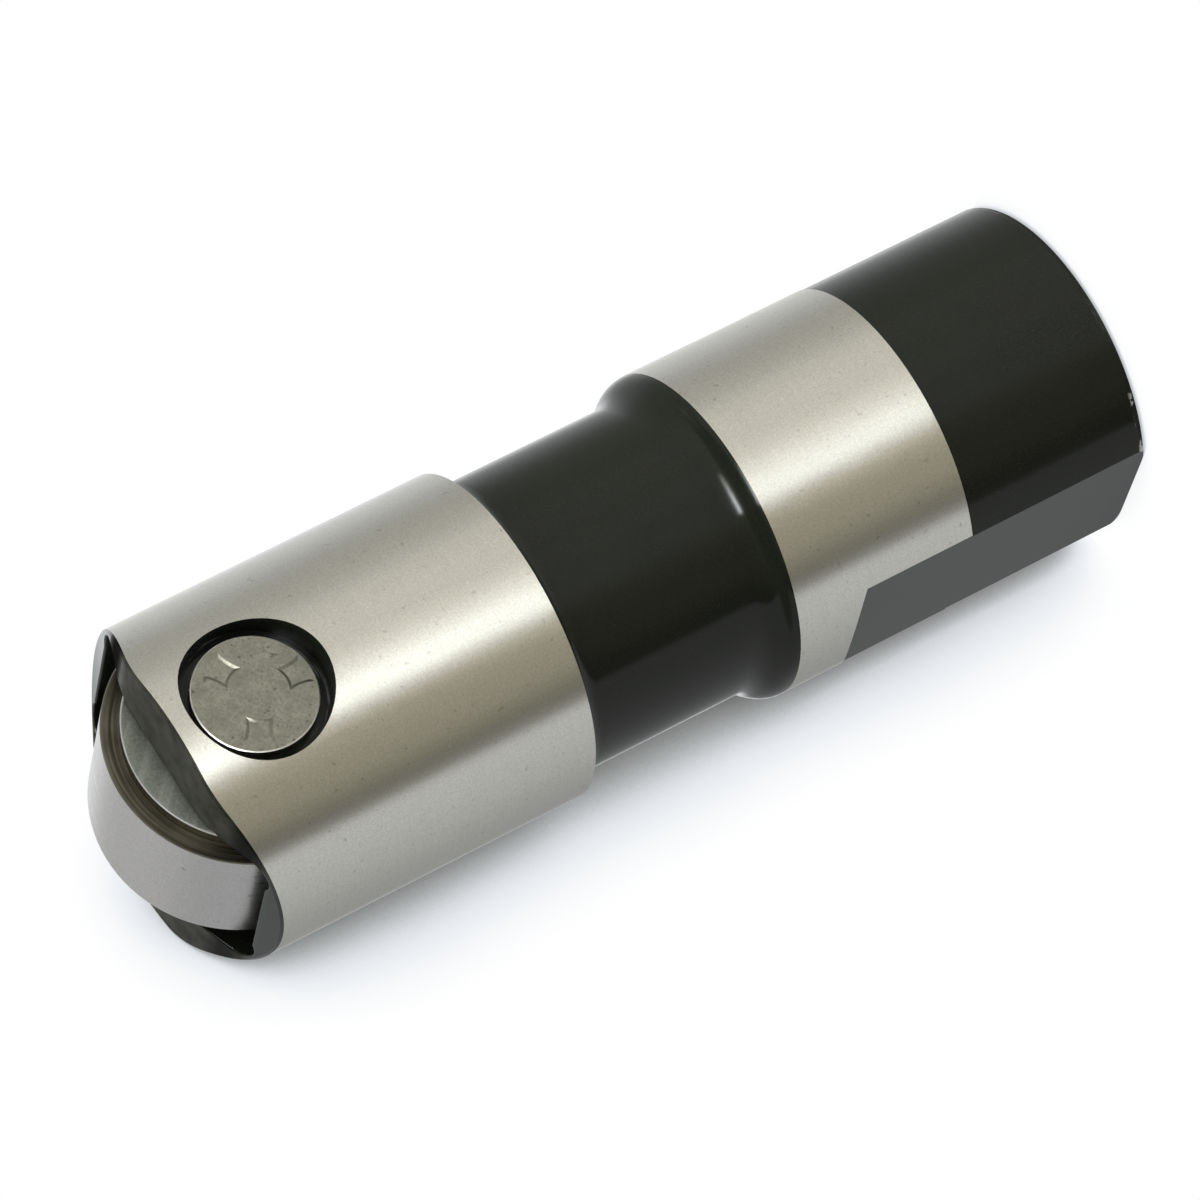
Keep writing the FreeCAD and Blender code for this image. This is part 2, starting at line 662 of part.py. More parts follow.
def retaining_clip():
    """Round-wire clip in its groove, open in front."""
    clip = doc.addObject("Part::Torus", "retaining_clip")
    clip.Label = "retaining_clip"
    clip.Placement.Rotation = FreeCAD.Rotation(FreeCAD.Vector(0, 0, -1), QUARTER_TURN)
    bind(clip, "Placement.Rotation.Angle", f"{QUARTER_TURN} - clip_opening / 2")
    bind(clip, "Radius1", f"{CLIP_GROOVE_RADIUS} - clip_fit - clip_wire_radius")
    bind(clip, "Radius2", "clip_wire_radius")
    bind(clip, "Angle3", f"{FULL_TURN} - clip_opening")
    bind(clip, "Placement.Base.z", "clip_height")
    parts.append(clip)


def pushrod_seat():
    """Cup that the pushrod's ball end sits in, with an oil hole."""
    body = new_body("pushrod_seat")
    sketch = new_sketch(body, "seat_outline", "XZ_Plane")
    mouth = "(socket_radius + socket_chamfer)"
    chamfer_end = "sqrt(socket_radius ^ 2 - socket_chamfer ^ 2)"
    hole_foot = "sqrt(socket_radius ^ 2 - seat_hole_radius ^ 2)"
    draw_outline(sketch, (
        (mouth, "0"),
        (f"{PLUNGER_RADIUS} - seat_chamfer", "0"),
        (PLUNGER_RADIUS, "seat_chamfer"),
        (PLUNGER_RADIUS, "seat_height - seat_chamfer"),
        (f"{PLUNGER_RADIUS} - seat_chamfer", "seat_height"),
        ("seat_hole_radius", "seat_height"),
        ("seat_hole_radius", hole_foot),
        (chamfer_end, "socket_chamfer"),
    ), {6: ("socket_radius", RIGHT_TURN)})
    turned(body, "seat_cup", sketch)
    put(body, "0", "0", SEAT_FOOT)


def metering_disc():
    """Thin disc with a small hole, in the recess of the plunger's foot."""
    body = new_body("metering_disc")
    sketch = new_sketch(body, "disc_outline", "XY_Plane")
    draw_circle(sketch, "0", "0", "disc_radius")
    draw_circle(sketch, "0", "0", "disc_hole_radius")
    pad = body.newObject("PartDesign::Pad", "disc_plate")
    pad.Profile = sketch
    bind(pad, "Length", "disc_thickness")
    doc.recompute()
    put(body, "0", "0", f"{PLUNGER_FOOT} + disc_clearance")


def plunger():
    """Plunger: oil reservoir below, valve wall and check valve seat above."""
    body = new_body("plunger")
    sketch = new_sketch(body, "plunger_outline", "XZ_Plane")
    recess_radius = "(disc_radius + disc_clearance)"
    flange_recess_radius = "(cage_flange_radius + cage_flange_fit)"
    face = f"(plunger_length - {FLANGE_RECESS_DEPTH})"
    hole_level = f"({FEED_HOLE_HEIGHT} - {PLUNGER_FOOT})"
    groove_foot = f"({hole_level} - plunger_travel - 2 * feed_hole_radius)"
    groove_head = f"({hole_level} + 2 * feed_hole_radius)"
    groove_floor = f"({PLUNGER_RADIUS} - plunger_groove_depth)"
    draw_outline(sketch, (
        (recess_radius, "0"),
        (f"{PLUNGER_RADIUS} - plunger_chamfer", "0"),
        (PLUNGER_RADIUS, "plunger_chamfer"),
        (PLUNGER_RADIUS, groove_foot),
        (groove_floor, groove_foot),
        (groove_floor, groove_head),
        (PLUNGER_RADIUS, groove_head),
        (PLUNGER_RADIUS, "plunger_length - plunger_chamfer"),
        (f"{PLUNGER_RADIUS} - plunger_chamfer", "plunger_length"),
        (flange_recess_radius, "plunger_length"),
        (flange_recess_radius, face),
        ("valve_hole_radius + valve_cone_depth", face),
        ("valve_hole_radius", f"{face} - valve_cone_depth"),
        ("valve_hole_radius", f"{face} - valve_wall"),
        ("reservoir_radius", f"{face} - valve_wall"),
        ("reservoir_radius", DISC_RECESS_DEPTH),
        (recess_radius, DISC_RECESS_DEPTH),
    ))
    turned(body, "plunger_blank", sketch)
    hole = new_sketch(body, "cross_hole_outline", "XZ_Plane")
    draw_circle(hole, "0", f"({groove_foot} + {groove_head}) / 2", "cross_hole_radius")
    pocket(body, "cross_hole", hole, midplane=True)
    put(body, "0", "0", PLUNGER_FOOT)


def check_ball():
    """Ball of the check valve, on the ground cone of the plunger."""
    ball = doc.addObject("Part::Sphere", "check_ball")
    ball.Label = "check_ball"
    bind(ball, "Radius", "ball_radius")
    bind(ball, "Placement.Base.z", BALL_HEIGHT)
    parts.append(ball)


def check_valve_cage():
    """Pressed cup that keeps the ball, with a flange under the plunger spring."""
    body = new_body("check_valve_cage")
    sketch = new_sketch(body, "cage_outline", "XZ_Plane")
    outer_radius = f"({CAGE_INNER_RADIUS} + cage_metal)"
    inner_height = f"({CAGE_TOP} - {VALVE_FACE})"
    outer_height = f"({inner_height} + cage_metal)"
    draw_outline(sketch, (
        (CAGE_INNER_RADIUS, "0"),
        ("cage_flange_radius", "0"),
        ("cage_flange_radius", "cage_metal"),
        (outer_radius, "cage_metal"),
        (outer_radius, f"{outer_height} - cage_metal"),
        (CAGE_INNER_RADIUS, outer_height),
        ("cage_window_radius", outer_height),
        ("cage_window_radius", inner_height),
        (CAGE_INNER_RADIUS, inner_height),
    ), {4: ("cage_metal", LEFT_TURN)})
    turned(body, "cage_cup", sketch)
    window = new_sketch(body, "window_outline", "XZ_Plane")
    draw_circle(window, "0", f"cage_metal + {inner_height} / 2", "cage_window_radius")
    cut = pocket(body, "window", window)
    spaced_round(body, "windows", cut, "Z_Axis", CAGE_WINDOWS)
    put(body, "0", "0", VALVE_FACE)


def coil_spring(name, coil_radius, wire_radius, turns, length, foot):
    """Compression spring with both ends ground flat."""
    body = new_body(name)
    section = new_sketch(body, f"{name}_wire", "XZ_Plane")
    draw_circle(section, coil_radius, "0", wire_radius)
    coil = body.newObject("PartDesign::AdditiveHelix", f"{name}_coil")
    coil.Profile = section
    coil.ReferenceAxis = (section, ["V_Axis"])
    coil.Mode = "height-turns-angle"
    bind(coil, "Height", length)
    bind(coil, "Turns", turns)
    doc.recompute()
    ends = new_sketch(body, f"{name}_ends", "XZ_Plane")
    inside = f"{coil_radius} - 1.5 * {wire_radius}"
    outside = f"{coil_radius} + 1.5 * {wire_radius}"
    for near, far in (("0", f"-2 * {wire_radius}"), (length, f"{length} + 2 * {wire_radius}")):
        draw_outline(ends, ((inside, near), (inside, far), (outside, far), (outside, near)))
    turned(body, f"{name}_ground_ends", ends, cut=True)
    put(body, "0", "0", foot)


def write_parts():
    """Checks every object and writes one file for each piece."""
    doc.recompute()
    for thing in doc.Objects:
        if "Invalid" in thing.State or "Error" in thing.State:
            raise ValueError(f"{thing.Name} failed: {thing.State}")
    os.makedirs("parts", exist_ok=True)
    for piece in parts:
        shape = piece.Shape
        if shape.isNull() or not shape.isValid() or len(shape.Solids) != 1:
            raise ValueError(f"{piece.Label} is not one sound solid")
        shape.exportStep(f"parts/{piece.Label}.step")


fill_sheet()
tappet_body()
cam_roller()
axle_pin()
thrust_washer("front_thrust_washer", 180)
thrust_washer("back_thrust_washer", 0)
needle_bearing()
retaining_clip()
pushrod_seat()
metering_disc()
plunger()
check_ball()
check_valve_cage()
coil_spring("check_spring", "check_coil_radius", "check_wire_radius", "check_turns",
            f"({CAGE_TOP} - {CHECK_SPRING_FOOT})", CHECK_SPRING_FOOT)
coil_spring("plunger_spring", "plunger_coil_radius", "plunger_wire_radius", "plunger_turns",
            f"({BORE_END} - {PLUNGER_SPRING_FOOT})", PLUNGER_SPRING_FOOT)
write_parts()
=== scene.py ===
"""Hydraulic roller tappet: finishes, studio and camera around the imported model, in metres."""

import json
import math

import bpy
from mathutils import Matrix, Vector

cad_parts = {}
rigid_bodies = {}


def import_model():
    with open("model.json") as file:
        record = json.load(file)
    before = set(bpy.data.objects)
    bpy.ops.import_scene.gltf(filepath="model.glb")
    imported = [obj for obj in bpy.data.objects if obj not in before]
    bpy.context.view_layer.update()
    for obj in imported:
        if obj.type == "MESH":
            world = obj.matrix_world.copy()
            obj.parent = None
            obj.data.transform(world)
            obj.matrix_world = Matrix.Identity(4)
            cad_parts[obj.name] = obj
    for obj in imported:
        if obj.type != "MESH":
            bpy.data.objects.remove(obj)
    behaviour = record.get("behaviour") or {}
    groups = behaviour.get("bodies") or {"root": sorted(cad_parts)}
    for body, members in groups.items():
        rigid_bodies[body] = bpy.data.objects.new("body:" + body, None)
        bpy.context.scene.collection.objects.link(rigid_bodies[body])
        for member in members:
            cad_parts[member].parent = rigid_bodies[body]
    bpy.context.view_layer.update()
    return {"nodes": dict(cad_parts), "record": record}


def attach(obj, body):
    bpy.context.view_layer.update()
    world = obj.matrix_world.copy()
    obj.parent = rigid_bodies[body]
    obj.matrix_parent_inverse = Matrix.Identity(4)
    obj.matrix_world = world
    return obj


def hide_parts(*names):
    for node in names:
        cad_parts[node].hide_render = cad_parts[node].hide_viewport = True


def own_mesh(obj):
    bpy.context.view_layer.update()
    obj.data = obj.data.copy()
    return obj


MM = 0.001

# sizes of the body that its finish follows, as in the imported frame: the lands' radius, the heights
# where the surface changes, the radius that the flats lie beyond and that of the counterbore
LAND_RADIUS = 10.7 * MM
BLACK_END = 12.9 * MM
FLAT_END = 20.55 * MM
WAIST_START = 25.45 * MM
WAIST_END = 40.05 * MM
BODY_LENGTH = 63.95 * MM
FLAT_RADIUS = 9.3 * MM
COUNTERBORE_RADIUS = 4.7 * MM

# the flare's run, its roundings and how far grinding the land cuts into it
FLARE_LENGTH = 2.70 * MM
FLARE_ROUND = 1.85 * MM
FLARE_CUT = 0.75 * MM

# the roller end: its depth, and across it the middle, the two limits of the groove that gets painted
# shade, and the rim
END_DEPTH = 4.0 * MM
END_MIDDLE = -0.2 * MM
HOLLOW_START = 6.4 * MM
HOLLOW_END = 8.1 * MM
END_RIM = 8.8 * MM

# the pushrod end's worn edge: its height, its width, and how far out from the middle it starts
WORN_HEIGHT = 0.5 * MM
WORN_WIDTH = 0.35 * MM
WORN_START = 7.2 * MM

# the roller's axle: its height, half length, the rim that gets a painted highlight and the stake
# marks, and the washers' edge that gets a painted highlight
PIN_HEIGHT = 58.1 * MM
AXLE_HALF_LENGTH = 9.39 * MM
AXLE_HIGHLIGHT_RIM = 3.73 * MM
STAKE_REACH = 3.62 * MM
STAKE_DEPTH = 0.1 * MM
WASHER_HIGHLIGHT_EDGE = 7.44 * MM

# share of a normal along a direction: a face above STRAIGHT looks straight that way, and one
# between the two values of CHAMFER is a chamfer; then the depth of the metals' grain
STRAIGHT = 0.995
CHAMFER = (0.4, 0.9)
GRAIN_DEPTH = 0.004 * MM
FINE_DEPTH = 0.003 * MM

# the other metals by slot: darkest and lightest colour, roughness, and for those that aren't
# turned the scale of their grain per metre
PLAIN_METALS = {
    "needle_steel": ((0.58, 0.58, 0.56), (0.68, 0.68, 0.66), 0.22, 4000.0),
    "clip_steel": ((0.16, 0.15, 0.13), (0.28, 0.26, 0.24), 0.38, 3000.0),
    "spring_steel": ((0.28, 0.27, 0.26), (0.44, 0.43, 0.41), 0.34, 3500.0),
}
LATHE_METALS = {
    "plunger_steel": ((0.44, 0.44, 0.42), (0.58, 0.58, 0.56), 0.28),
    "valve_steel": ((0.52, 0.52, 0.50), (0.66, 0.66, 0.64), 0.26),
}

# horizontal direction that the photographed side looks in
FRONT_SIDE = (-0.356, -0.934, 0.0)

# camera: the photograph's viewing angle on the standing part
PHOTO_SIZE = 1200
FOCAL_PIXELS = 7718.59
CAMERA_AZIMUTH = -20.847
CAMERA_ELEVATION = 20.784
CAMERA_ROLL = -116.550
CAMERA_DISTANCE = 462.81 * MM
CAMERA_AIM = Vector((-0.705, 0.269, 33.148)) * MM
SENSOR = 36.0

# softbox in the studio: its reach round the part and in height, as shares of a turn and of
# the dome's radius, its brightness and its colour; it is full up to BOX_FULL and fades to its end
BOX_START = 0.405
BOX_FULL = 0.435
BOX_END = 0.495
BOX_FOOT = 0.39
BOX_TOP = 0.55
SOFTBOX_LEVEL = 36.0
SOFTBOX_COLOR = (0.94, 0.98, 1, 1)

# light of the studio's ring, by the angle round it in degrees: brightness and tint
COOL, PLAIN, WARM = (0.98, 1.0, 1.02), (1.0, 0.99, 0.92), (1.05, 1.0, 0.80)
BRIGHTEST = 1.2
RING_LIGHTS = (
    (-180, 0.46, COOL), (-158, 0.57, COOL), (-142, 0.68, COOL), (-126, 0.77, COOL),
    (-110, 0.84, COOL), (-99.5, 0.88, COOL), (-97, 0.16, WARM), (-86, 0.22, WARM),
    (-78, 0.37, WARM), (-70, 0.45, WARM), (-54, 0.49, WARM), (-45, 0.62, WARM),
    (-36, 0.90, PLAIN), (-14, 0.96, PLAIN), (-6, 1.08, PLAIN), (2, 1.08, PLAIN),
    (10, 0.98, PLAIN), (20, 1.03, PLAIN), (28, 0.96, PLAIN), (35, 0.94, PLAIN),
    (43, 0.78, PLAIN), (50, 0.68, PLAIN), (66, 0.58, PLAIN), (75, 0.56, PLAIN),
    (82, 0.61, COOL), (90, 0.72, COOL), (98, 0.82, COOL), (115, 0.91, COOL),
    (124, 1.16, COOL), (152, 1.12, COOL), (161, 0.40, COOL), (180, 0.46, COOL),
)

# above the ring, by height: the dim far side, the bright ceiling and the ceiling's unlit part,
# the first and the last also by their share of a turn
FAR_FOOT = 0.20
FAR_START = 0.82
FAR_LEVEL = 0.54
CEILING_FOOT = 0.68
UNLIT_RISE = (0.64, 0.965)
UNLIT_TURN = (0.09, 0.66)
UNLIT_COLOR = (0.20, 0.20, 0.19, 1)

# how far the part shades the paper, and the paper's display colour by the share of open
# surroundings: under the lying part as in the photograph, fainter on the floor it stands on
SHADOW_REACH = 12.0 * MM
UNDER_TONES = (
    (0.00, (18, 18, 18)), (0.12, (76, 77, 76)), (0.20, (124, 126, 125)),
    (0.25, (146, 148, 148)), (0.30, (170, 172, 174)), (0.35, (196, 200, 203)),
    (0.40, (217, 221, 225)), (0.44, (228, 231, 235)), (0.48, (234, 237, 241)),
    (0.53, (240, 243, 246)), (0.60, (248, 249, 251)), (0.70, (255, 255, 255)),
)
FLOOR_TONES = (
    (0.15, (190, 194, 198)), (0.40, (228, 231, 234)), (0.50, (243, 245, 247)),
    (0.58, (252, 253, 253)), (0.66, (255, 255, 255)),
)

# the floor lies this far below the part's foot, so that the two faces don't coincide
FLOOR_GAP = 0.02 * MM

# half width and colour of the papers, radius of the studio's dome, brightness of the world as a
# light, and how finely the paper's shadow is sampled
PAPER_REACH = 0.6
PAPER_COLOR = (0.80, 0.81, 0.82, 1)
DOME_RADIUS = 0.8
WORLD_LEVEL = 0.55
SHADOW_SAMPLES = 32

# lamps: what they look at, their width and their power
LAMP_AIM = Vector((0, 0, 0.03))
LAMP_SIZE = 0.4
KEY_POWER = 4.0
TOP_POWER = 3.0

# the photograph shows the part lying down: this is the azimuth, on the standing part, of the side
# that is on top there
UPPER_SIDE = math.atan2(-0.968, 0.251)


def clear_scene():
    """Removes what a new file holds."""
    for thing in list(bpy.data.objects):
        bpy.data.objects.remove(thing)


class Tree:
    """Adds and joins the nodes of one material or world."""

    def __init__(self, owner):
        owner.use_nodes = True
        self.tree = owner.node_tree
        self.tree.nodes.clear()

    def add(self, kind, inputs=None, **settings):
        node = self.tree.nodes.new("ShaderNode" + kind)
        for name, value in settings.items():
            setattr(node, name, value)
        for name, value in (inputs or {}).items():
            self.feed(node.inputs[name], value)
        return node

    def feed(self, socket, value):
        if isinstance(value, bpy.types.NodeSocket):
            self.tree.links.new(value, socket)
        elif value is not None:
            socket.default_value = value

    def math(self, operation, first, second=None, third=None, clamp=False):
        inputs = {0: first, 1: second, 2: third}
        return self.add("Math", inputs, operation=operation, use_clamp=clamp).outputs[0]

    def vector(self, operation, first, second=None):
        node = self.add("VectorMath", {0: first, 1: second}, operation=operation)
        return node.outputs["Value" if operation in ("DOT_PRODUCT", "LENGTH") else "Vector"]

    def split(self, vector):
        return self.add("SeparateXYZ", {"Vector": vector}).outputs

    def join(self, x, y, z):
        return self.add("CombineXYZ", {"X": x, "Y": y, "Z": z}).outputs[0]

    def step(self, value, edge, width=0.0):
        """0 below the edge and 1 above it, softened over the width."""
        if width:
            return self.math("MULTIPLY_ADD", value, 1.0 / width, 0.5 - edge / width, clamp=True)
        return self.math("GREATER_THAN", value, edge)

    def between(self, value, low, high, width=0.0):
        """1 between two edges and 0 outside them, softened over the width."""
        above = self.step(value, low, width)
        return self.math("MULTIPLY", above, self.invert(self.step(value, high, width)))

    def invert(self, value):
        return self.math("SUBTRACT", 1.0, value)

    def noise(self, vector, scale, detail=2.0, roughness=0.5):
        """Uneven values round 0.5, with the scale per metre."""
        inputs = {"Vector": vector, "Scale": scale, "Detail": detail, "Roughness": roughness}
        return self.add("TexNoise", inputs).outputs["Fac"]

    def remap(self, value, low, high, to_low=0.0, to_high=1.0):
        """Carries a range over to another one and holds at its ends."""
        inputs = {"From Min": low, "From Max": high, "To Min": to_low, "To Max": to_high}
        return self.add("MapRange", {"Value": value, **inputs}).outputs[0]

    def mix(self, factor, first, second):
        """Blends two colours."""
        return self.add("Mix", {0: factor, 6: first, 7: second}, data_type="RGBA").outputs[2]

    def blend(self, factor, first, second):
        """Blends two numbers."""
        return self.add("Mix", {0: factor, 2: first, 3: second}, data_type="FLOAT").outputs[0]

    def bump(self, height, distance, strength, normal=None):
        inputs = {"Height": height, "Distance": distance, "Strength": strength, "Normal": normal}
        return self.add("Bump", inputs).outputs[0]

    def ramp(self, factor, colors):
        """A colour for each place on a scale from 0 to 1, blended between them."""
        node = self.add("ValToRGB", {"Fac": factor})
        stops = node.color_ramp.elements
        while len(stops) > 1:
            stops.remove(stops[-1])
        for number, (where, color) in enumerate(colors):
            stop = stops[0] if number == 0 else stops.new(where)
            stop.position = where
            stop.color = (*color, 1)
        return node.outputs[0]

    def shown(self):
        """1 where a surface is seen directly, in a mirror or through glass."""
        path = self.add("LightPath").outputs
        direct = self.math("MAXIMUM", path["Is Camera Ray"], path["Is Glossy Ray"])
        return self.math("MAXIMUM", direct, path["Is Transmission Ray"])


class Finish(Tree):
    """A material on one metal surface, with the places that its marks follow."""

    def __init__(self, name):
        self.material = bpy.data.materials.new(name)
        super().__init__(self.material)
        self.place = self.add("TexCoord").outputs["Object"]
        geometry = self.add("NewGeometry").outputs
        self.face, self.smooth = geometry["True Normal"], geometry["Normal"]
        self.x, self.y, self.z = self.split(self.place)

    def shader(self, inputs):
        surface = self.add("BsdfPrincipled", inputs)
        self.add("OutputMaterial", {"Surface": surface.outputs[0]})
        return self.material

    def round_z(self):
        """Radius, angle and outward direction round the body's axis."""
        flat = self.join(self.x, self.y, 0.0)
        return (
            self.vector("LENGTH", flat),
            self.math("ARCTAN2", self.y, self.x),
            self.vector("NORMALIZE", flat),
        )

    def round_axle(self):
        """Radius, angle and outward direction round the roller's axle."""
        up = self.math("SUBTRACT", self.z, PIN_HEIGHT)
        flat = self.join(self.x, 0.0, up)
        return (
            self.vector("LENGTH", flat),
            self.math("ARCTAN2", up, self.x),
            self.vector("NORMALIZE", flat),
        )

    def rings(self, across, angle, per_metre, turns=1.5):
        """Fine lines that run round an axis and change slowly along their length."""
        where = self.join(
            self.math("MULTIPLY", across, per_metre),
            self.math("MULTIPLY", self.math("COSINE", angle), turns),
            self.math("MULTIPLY", self.math("SINE", angle), turns),
        )
        return self.noise(where, 1.0, 3.0, 0.6)


def body_finish():
    """Black oxide all over, ground off on the two lands."""
    f = Finish("body_steel")
    radius, angle, outward = f.round_z()
    facing = f.vector("DOT_PRODUCT", f.face, outward)
    land = f.math(
        "ADD",
        f.between(f.z, BLACK_END, WAIST_START),
        f.between(f.z, WAIST_END, BODY_LENGTH),
        clamp=True,
    )
    outer = f.math("MULTIPLY", f.step(radius, LAND_RADIUS - 0.1 * MM), f.step(facing, 0.95))
    ground = f.math("MULTIPLY", land, outer)

    lay = f.rings(f.z, angle, 14000.0)
    grain = f.noise(f.place, 9000.0, 2.0, 0.7)
    cloud = f.noise(f.place, 160.0, 3.0)
    specks = f.remap(f.noise(f.place, 2600.0, 1.0), 0.70, 0.78)

    bright = f.mix(f.remap(grain, 0.3, 0.7), (0.49, 0.475, 0.43, 1), (0.65, 0.64, 0.59, 1))
    bright = f.mix(f.remap(lay, 0.3, 0.7, 0.0, 0.35), bright, (0.50, 0.49, 0.45, 1))
    bright = f.mix(f.math("MULTIPLY", specks, 0.5), bright, (0.30, 0.29, 0.26, 1))
    dark = f.mix(cloud, (0.0046, 0.0055, 0.0035, 1), (0.0072, 0.0084, 0.0054, 1))
    dark = f.mix(f.remap(grain, 0.4, 0.8), dark, (0.0105, 0.0120, 0.0085, 1))

    sideways, facing_front, facing_up = f.split(f.vector("ABSOLUTE", f.face))
    out = f.math("ABSOLUTE", f.x)

    # milled flats beside the pushrod end, and the flare of the waist
    flat = f.math("MULTIPLY", f.step(sideways, STRAIGHT), f.step(radius, FLAT_RADIUS))
    flat = f.math("MULTIPLY", flat, f.invert(f.step(f.z, FLAT_END)))
    dark = f.mix(flat, dark, (0.0330, 0.0370, 0.0350, 1))
    flare = f.math("MULTIPLY", f.between(f.z, WAIST_START, WAIST_END), f.step(facing_up, 0.05, 0.1))

    # grinding the land cuts into the flare's rounding, so its slope runs on up to the land's edge;
    # away from the photographed side the surface's own normal stays
    along = f.math("SUBTRACT", f.z, WAIST_START)
    leaving = f.remap(along, -FLARE_CUT, FLARE_ROUND - FLARE_CUT)
    meeting = f.remap(along, FLARE_LENGTH - FLARE_CUT, FLARE_LENGTH - FLARE_CUT - FLARE_ROUND)
    slope = f.math("MINIMUM", leaving, meeting)
    sloped = f.vector("ADD", outward, f.join(0.0, 0.0, f.math("TANGENT", f.math("ARCSINE", slope))))
    cut = f.between(f.z, WAIST_START, WAIST_START + FLARE_LENGTH)
    cut = f.math("MULTIPLY", cut, f.step(f.vector("DOT_PRODUCT", outward, FRONT_SIDE), 0.55, 0.4))

    # roller end: brownish in the middle, darkened by painted shade in the groove where it falls off,
    # most on the +X side, and lighter at both rims
    end = f.math("MULTIPLY", f.step(f.z, BODY_LENGTH - END_DEPTH), f.step(facing_up, 0.6))
    plus_x = f.step(f.x, 0.0)
    offset = f.math("ABSOLUTE", f.math("SUBTRACT", f.x, END_MIDDLE))
    shaded_crease = f.math("MULTIPLY", end, f.between(offset, HOLLOW_START, HOLLOW_END, 0.9 * MM))
    rim = f.math("MULTIPLY", end, f.step(offset, END_RIM, 0.8 * MM))
    patches = f.noise(f.place, 700.0, 3.0, 0.6)
    patched = f.remap(patches, 0.35, 0.65)
    middle = f.mix(patched, (0.0080, 0.0090, 0.0060, 1), (0.0215, 0.0210, 0.0148, 1))
    dark = f.mix(end, dark, middle)
    # painted shade in the groove, darker on the +X side
    crease_shade = f.mix(plus_x, (0.0210, 0.0210, 0.0190, 1), (0.0120, 0.0120, 0.0110, 1))
    dark = f.mix(shaded_crease, dark, crease_shade)
    dark = f.mix(rim, dark, (0.065, 0.070, 0.070, 1))

    # edge of the pushrod end, worn bright in a few places
    low = f.invert(f.step(f.z, WORN_HEIGHT, 0.2 * MM))
    foot = f.math("MULTIPLY", low, f.invert(f.step(sideways, STRAIGHT)))
    edge = f.step(radius, LAND_RADIUS - WORN_WIDTH)
    edge = f.math("MULTIPLY", edge, f.step(out, WORN_START, 0.6 * MM))
    worn = f.math("MULTIPLY", foot, edge)
    worn = f.math("MULTIPLY", worn, f.step(f.noise(f.place, 1500.0, 3.0), 0.60, 0.04))
    bare = f.math("MAXIMUM", ground, worn)

    # scratches on the floor of the counterbore round the axle
    axle_radius, axle_angle, _ = f.round_axle()
    bored = f.invert(f.step(axle_radius, COUNTERBORE_RADIUS))
    bored = f.math("MULTIPLY", f.step(facing_front, 0.98), bored)
    scratches = f.remap(f.rings(axle_radius, axle_angle, 5200.0, 1.4), 0.56, 0.72)
    dark = f.mix(f.math("MULTIPLY", bored, scratches), dark, (0.085, 0.092, 0.090, 1))

    color = f.mix(bare, dark, bright)
    ground_rough = f.remap(lay, 0.25, 0.75, 0.28, 0.34)
    dark_rough = f.remap(cloud, 0.3, 0.7, 0.14, 0.18)
    dark_rough = f.blend(flare, dark_rough, 0.13)
    dark_rough = f.blend(foot, dark_rough, 0.60)
    middle_rough = f.blend(shaded_crease, f.remap(patches, 0.3, 0.7, 0.50, 0.36), 0.85)
    dark_rough = f.blend(end, dark_rough, f.blend(rim, middle_rough, 0.22))
    rough = f.blend(bare, dark_rough, ground_rough)
    metal = f.math("MAXIMUM", bare, f.math("MAXIMUM", rim, shaded_crease))
    ground_relief = f.math("MULTIPLY_ADD", lay, 0.7, f.math("MULTIPLY", grain, 0.3))
    relief = f.blend(ground, cloud, ground_relief)
    tangent = f.add("Tangent", direction_type="RADIAL", axis="Z").outputs[0]

    # the groove is sunk, so it looks inward on the +X side
    inward = f.join(-0.3, f.math("MULTIPLY", f.math("SIGN", f.y), 0.6), 0.74)
    shaped = f.mix(f.math("MULTIPLY", shaded_crease, plus_x), f.mix(cut, f.smooth, sloped), inward)
    shaped = f.vector("NORMALIZE", shaped)
    return f.shader({
        "Base Color": color,
        "Metallic": metal,
        "Roughness": rough,
        "Specular IOR Level": 0.20,
        "Anisotropic": 0.95,
        "Anisotropic Rotation": 0.25,
        "Tangent": tangent,
        "Normal": f.bump(relief, GRAIN_DEPTH, 0.25, shaped),
    })


def roller_finish():
    """Fine ground tread, darker rings turned on the sides."""
    f = Finish("roller_steel")
    radius, angle, outward = f.round_axle()
    facing = f.vector("DOT_PRODUCT", f.face, outward)
    tread = f.step(facing, 0.5)
    corner = f.between(facing, 0.2, 0.93)
    lay = f.rings(f.y, angle, 9000.0)
    rings = f.rings(radius, angle, 6500.0, 0.8)
    grain = f.noise(f.place, 8000.0, 2.0, 0.7)
    specks = f.remap(f.noise(f.place, 1700.0, 1.0), 0.73, 0.79)
    smear = f.noise(f.place, 420.0, 3.0)

    pale = f.mix(f.remap(grain, 0.3, 0.7), (0.48, 0.475, 0.462, 1), (0.64, 0.635, 0.62, 1))
    pale = f.mix(f.remap(lay, 0.3, 0.7, 0.0, 0.3), pale, (0.48, 0.47, 0.455, 1))
    pale = f.mix(f.math("MULTIPLY", specks, 0.5), pale, (0.20, 0.19, 0.17, 1))
    brown = f.mix(f.remap(rings, 0.35, 0.65), (0.046, 0.041, 0.029, 1), (0.157, 0.146, 0.111, 1))
    brown = f.mix(f.remap(smear, 0.4, 0.7, 0.0, 0.4), brown, (0.03, 0.024, 0.018, 1))
    rough = f.blend(tread, f.remap(rings, 0.3, 0.7, 0.32, 0.46), f.remap(lay, 0.3, 0.7, 0.26, 0.36))
    color = f.mix(corner, f.mix(tread, brown, pale), (0.20, 0.19, 0.16, 1))
    return f.shader({
        "Base Color": color,
        "Metallic": 1.0,
        "Roughness": rough,
        "Normal": f.bump(f.blend(tread, rings, lay), GRAIN_DEPTH, 0.3),
    })


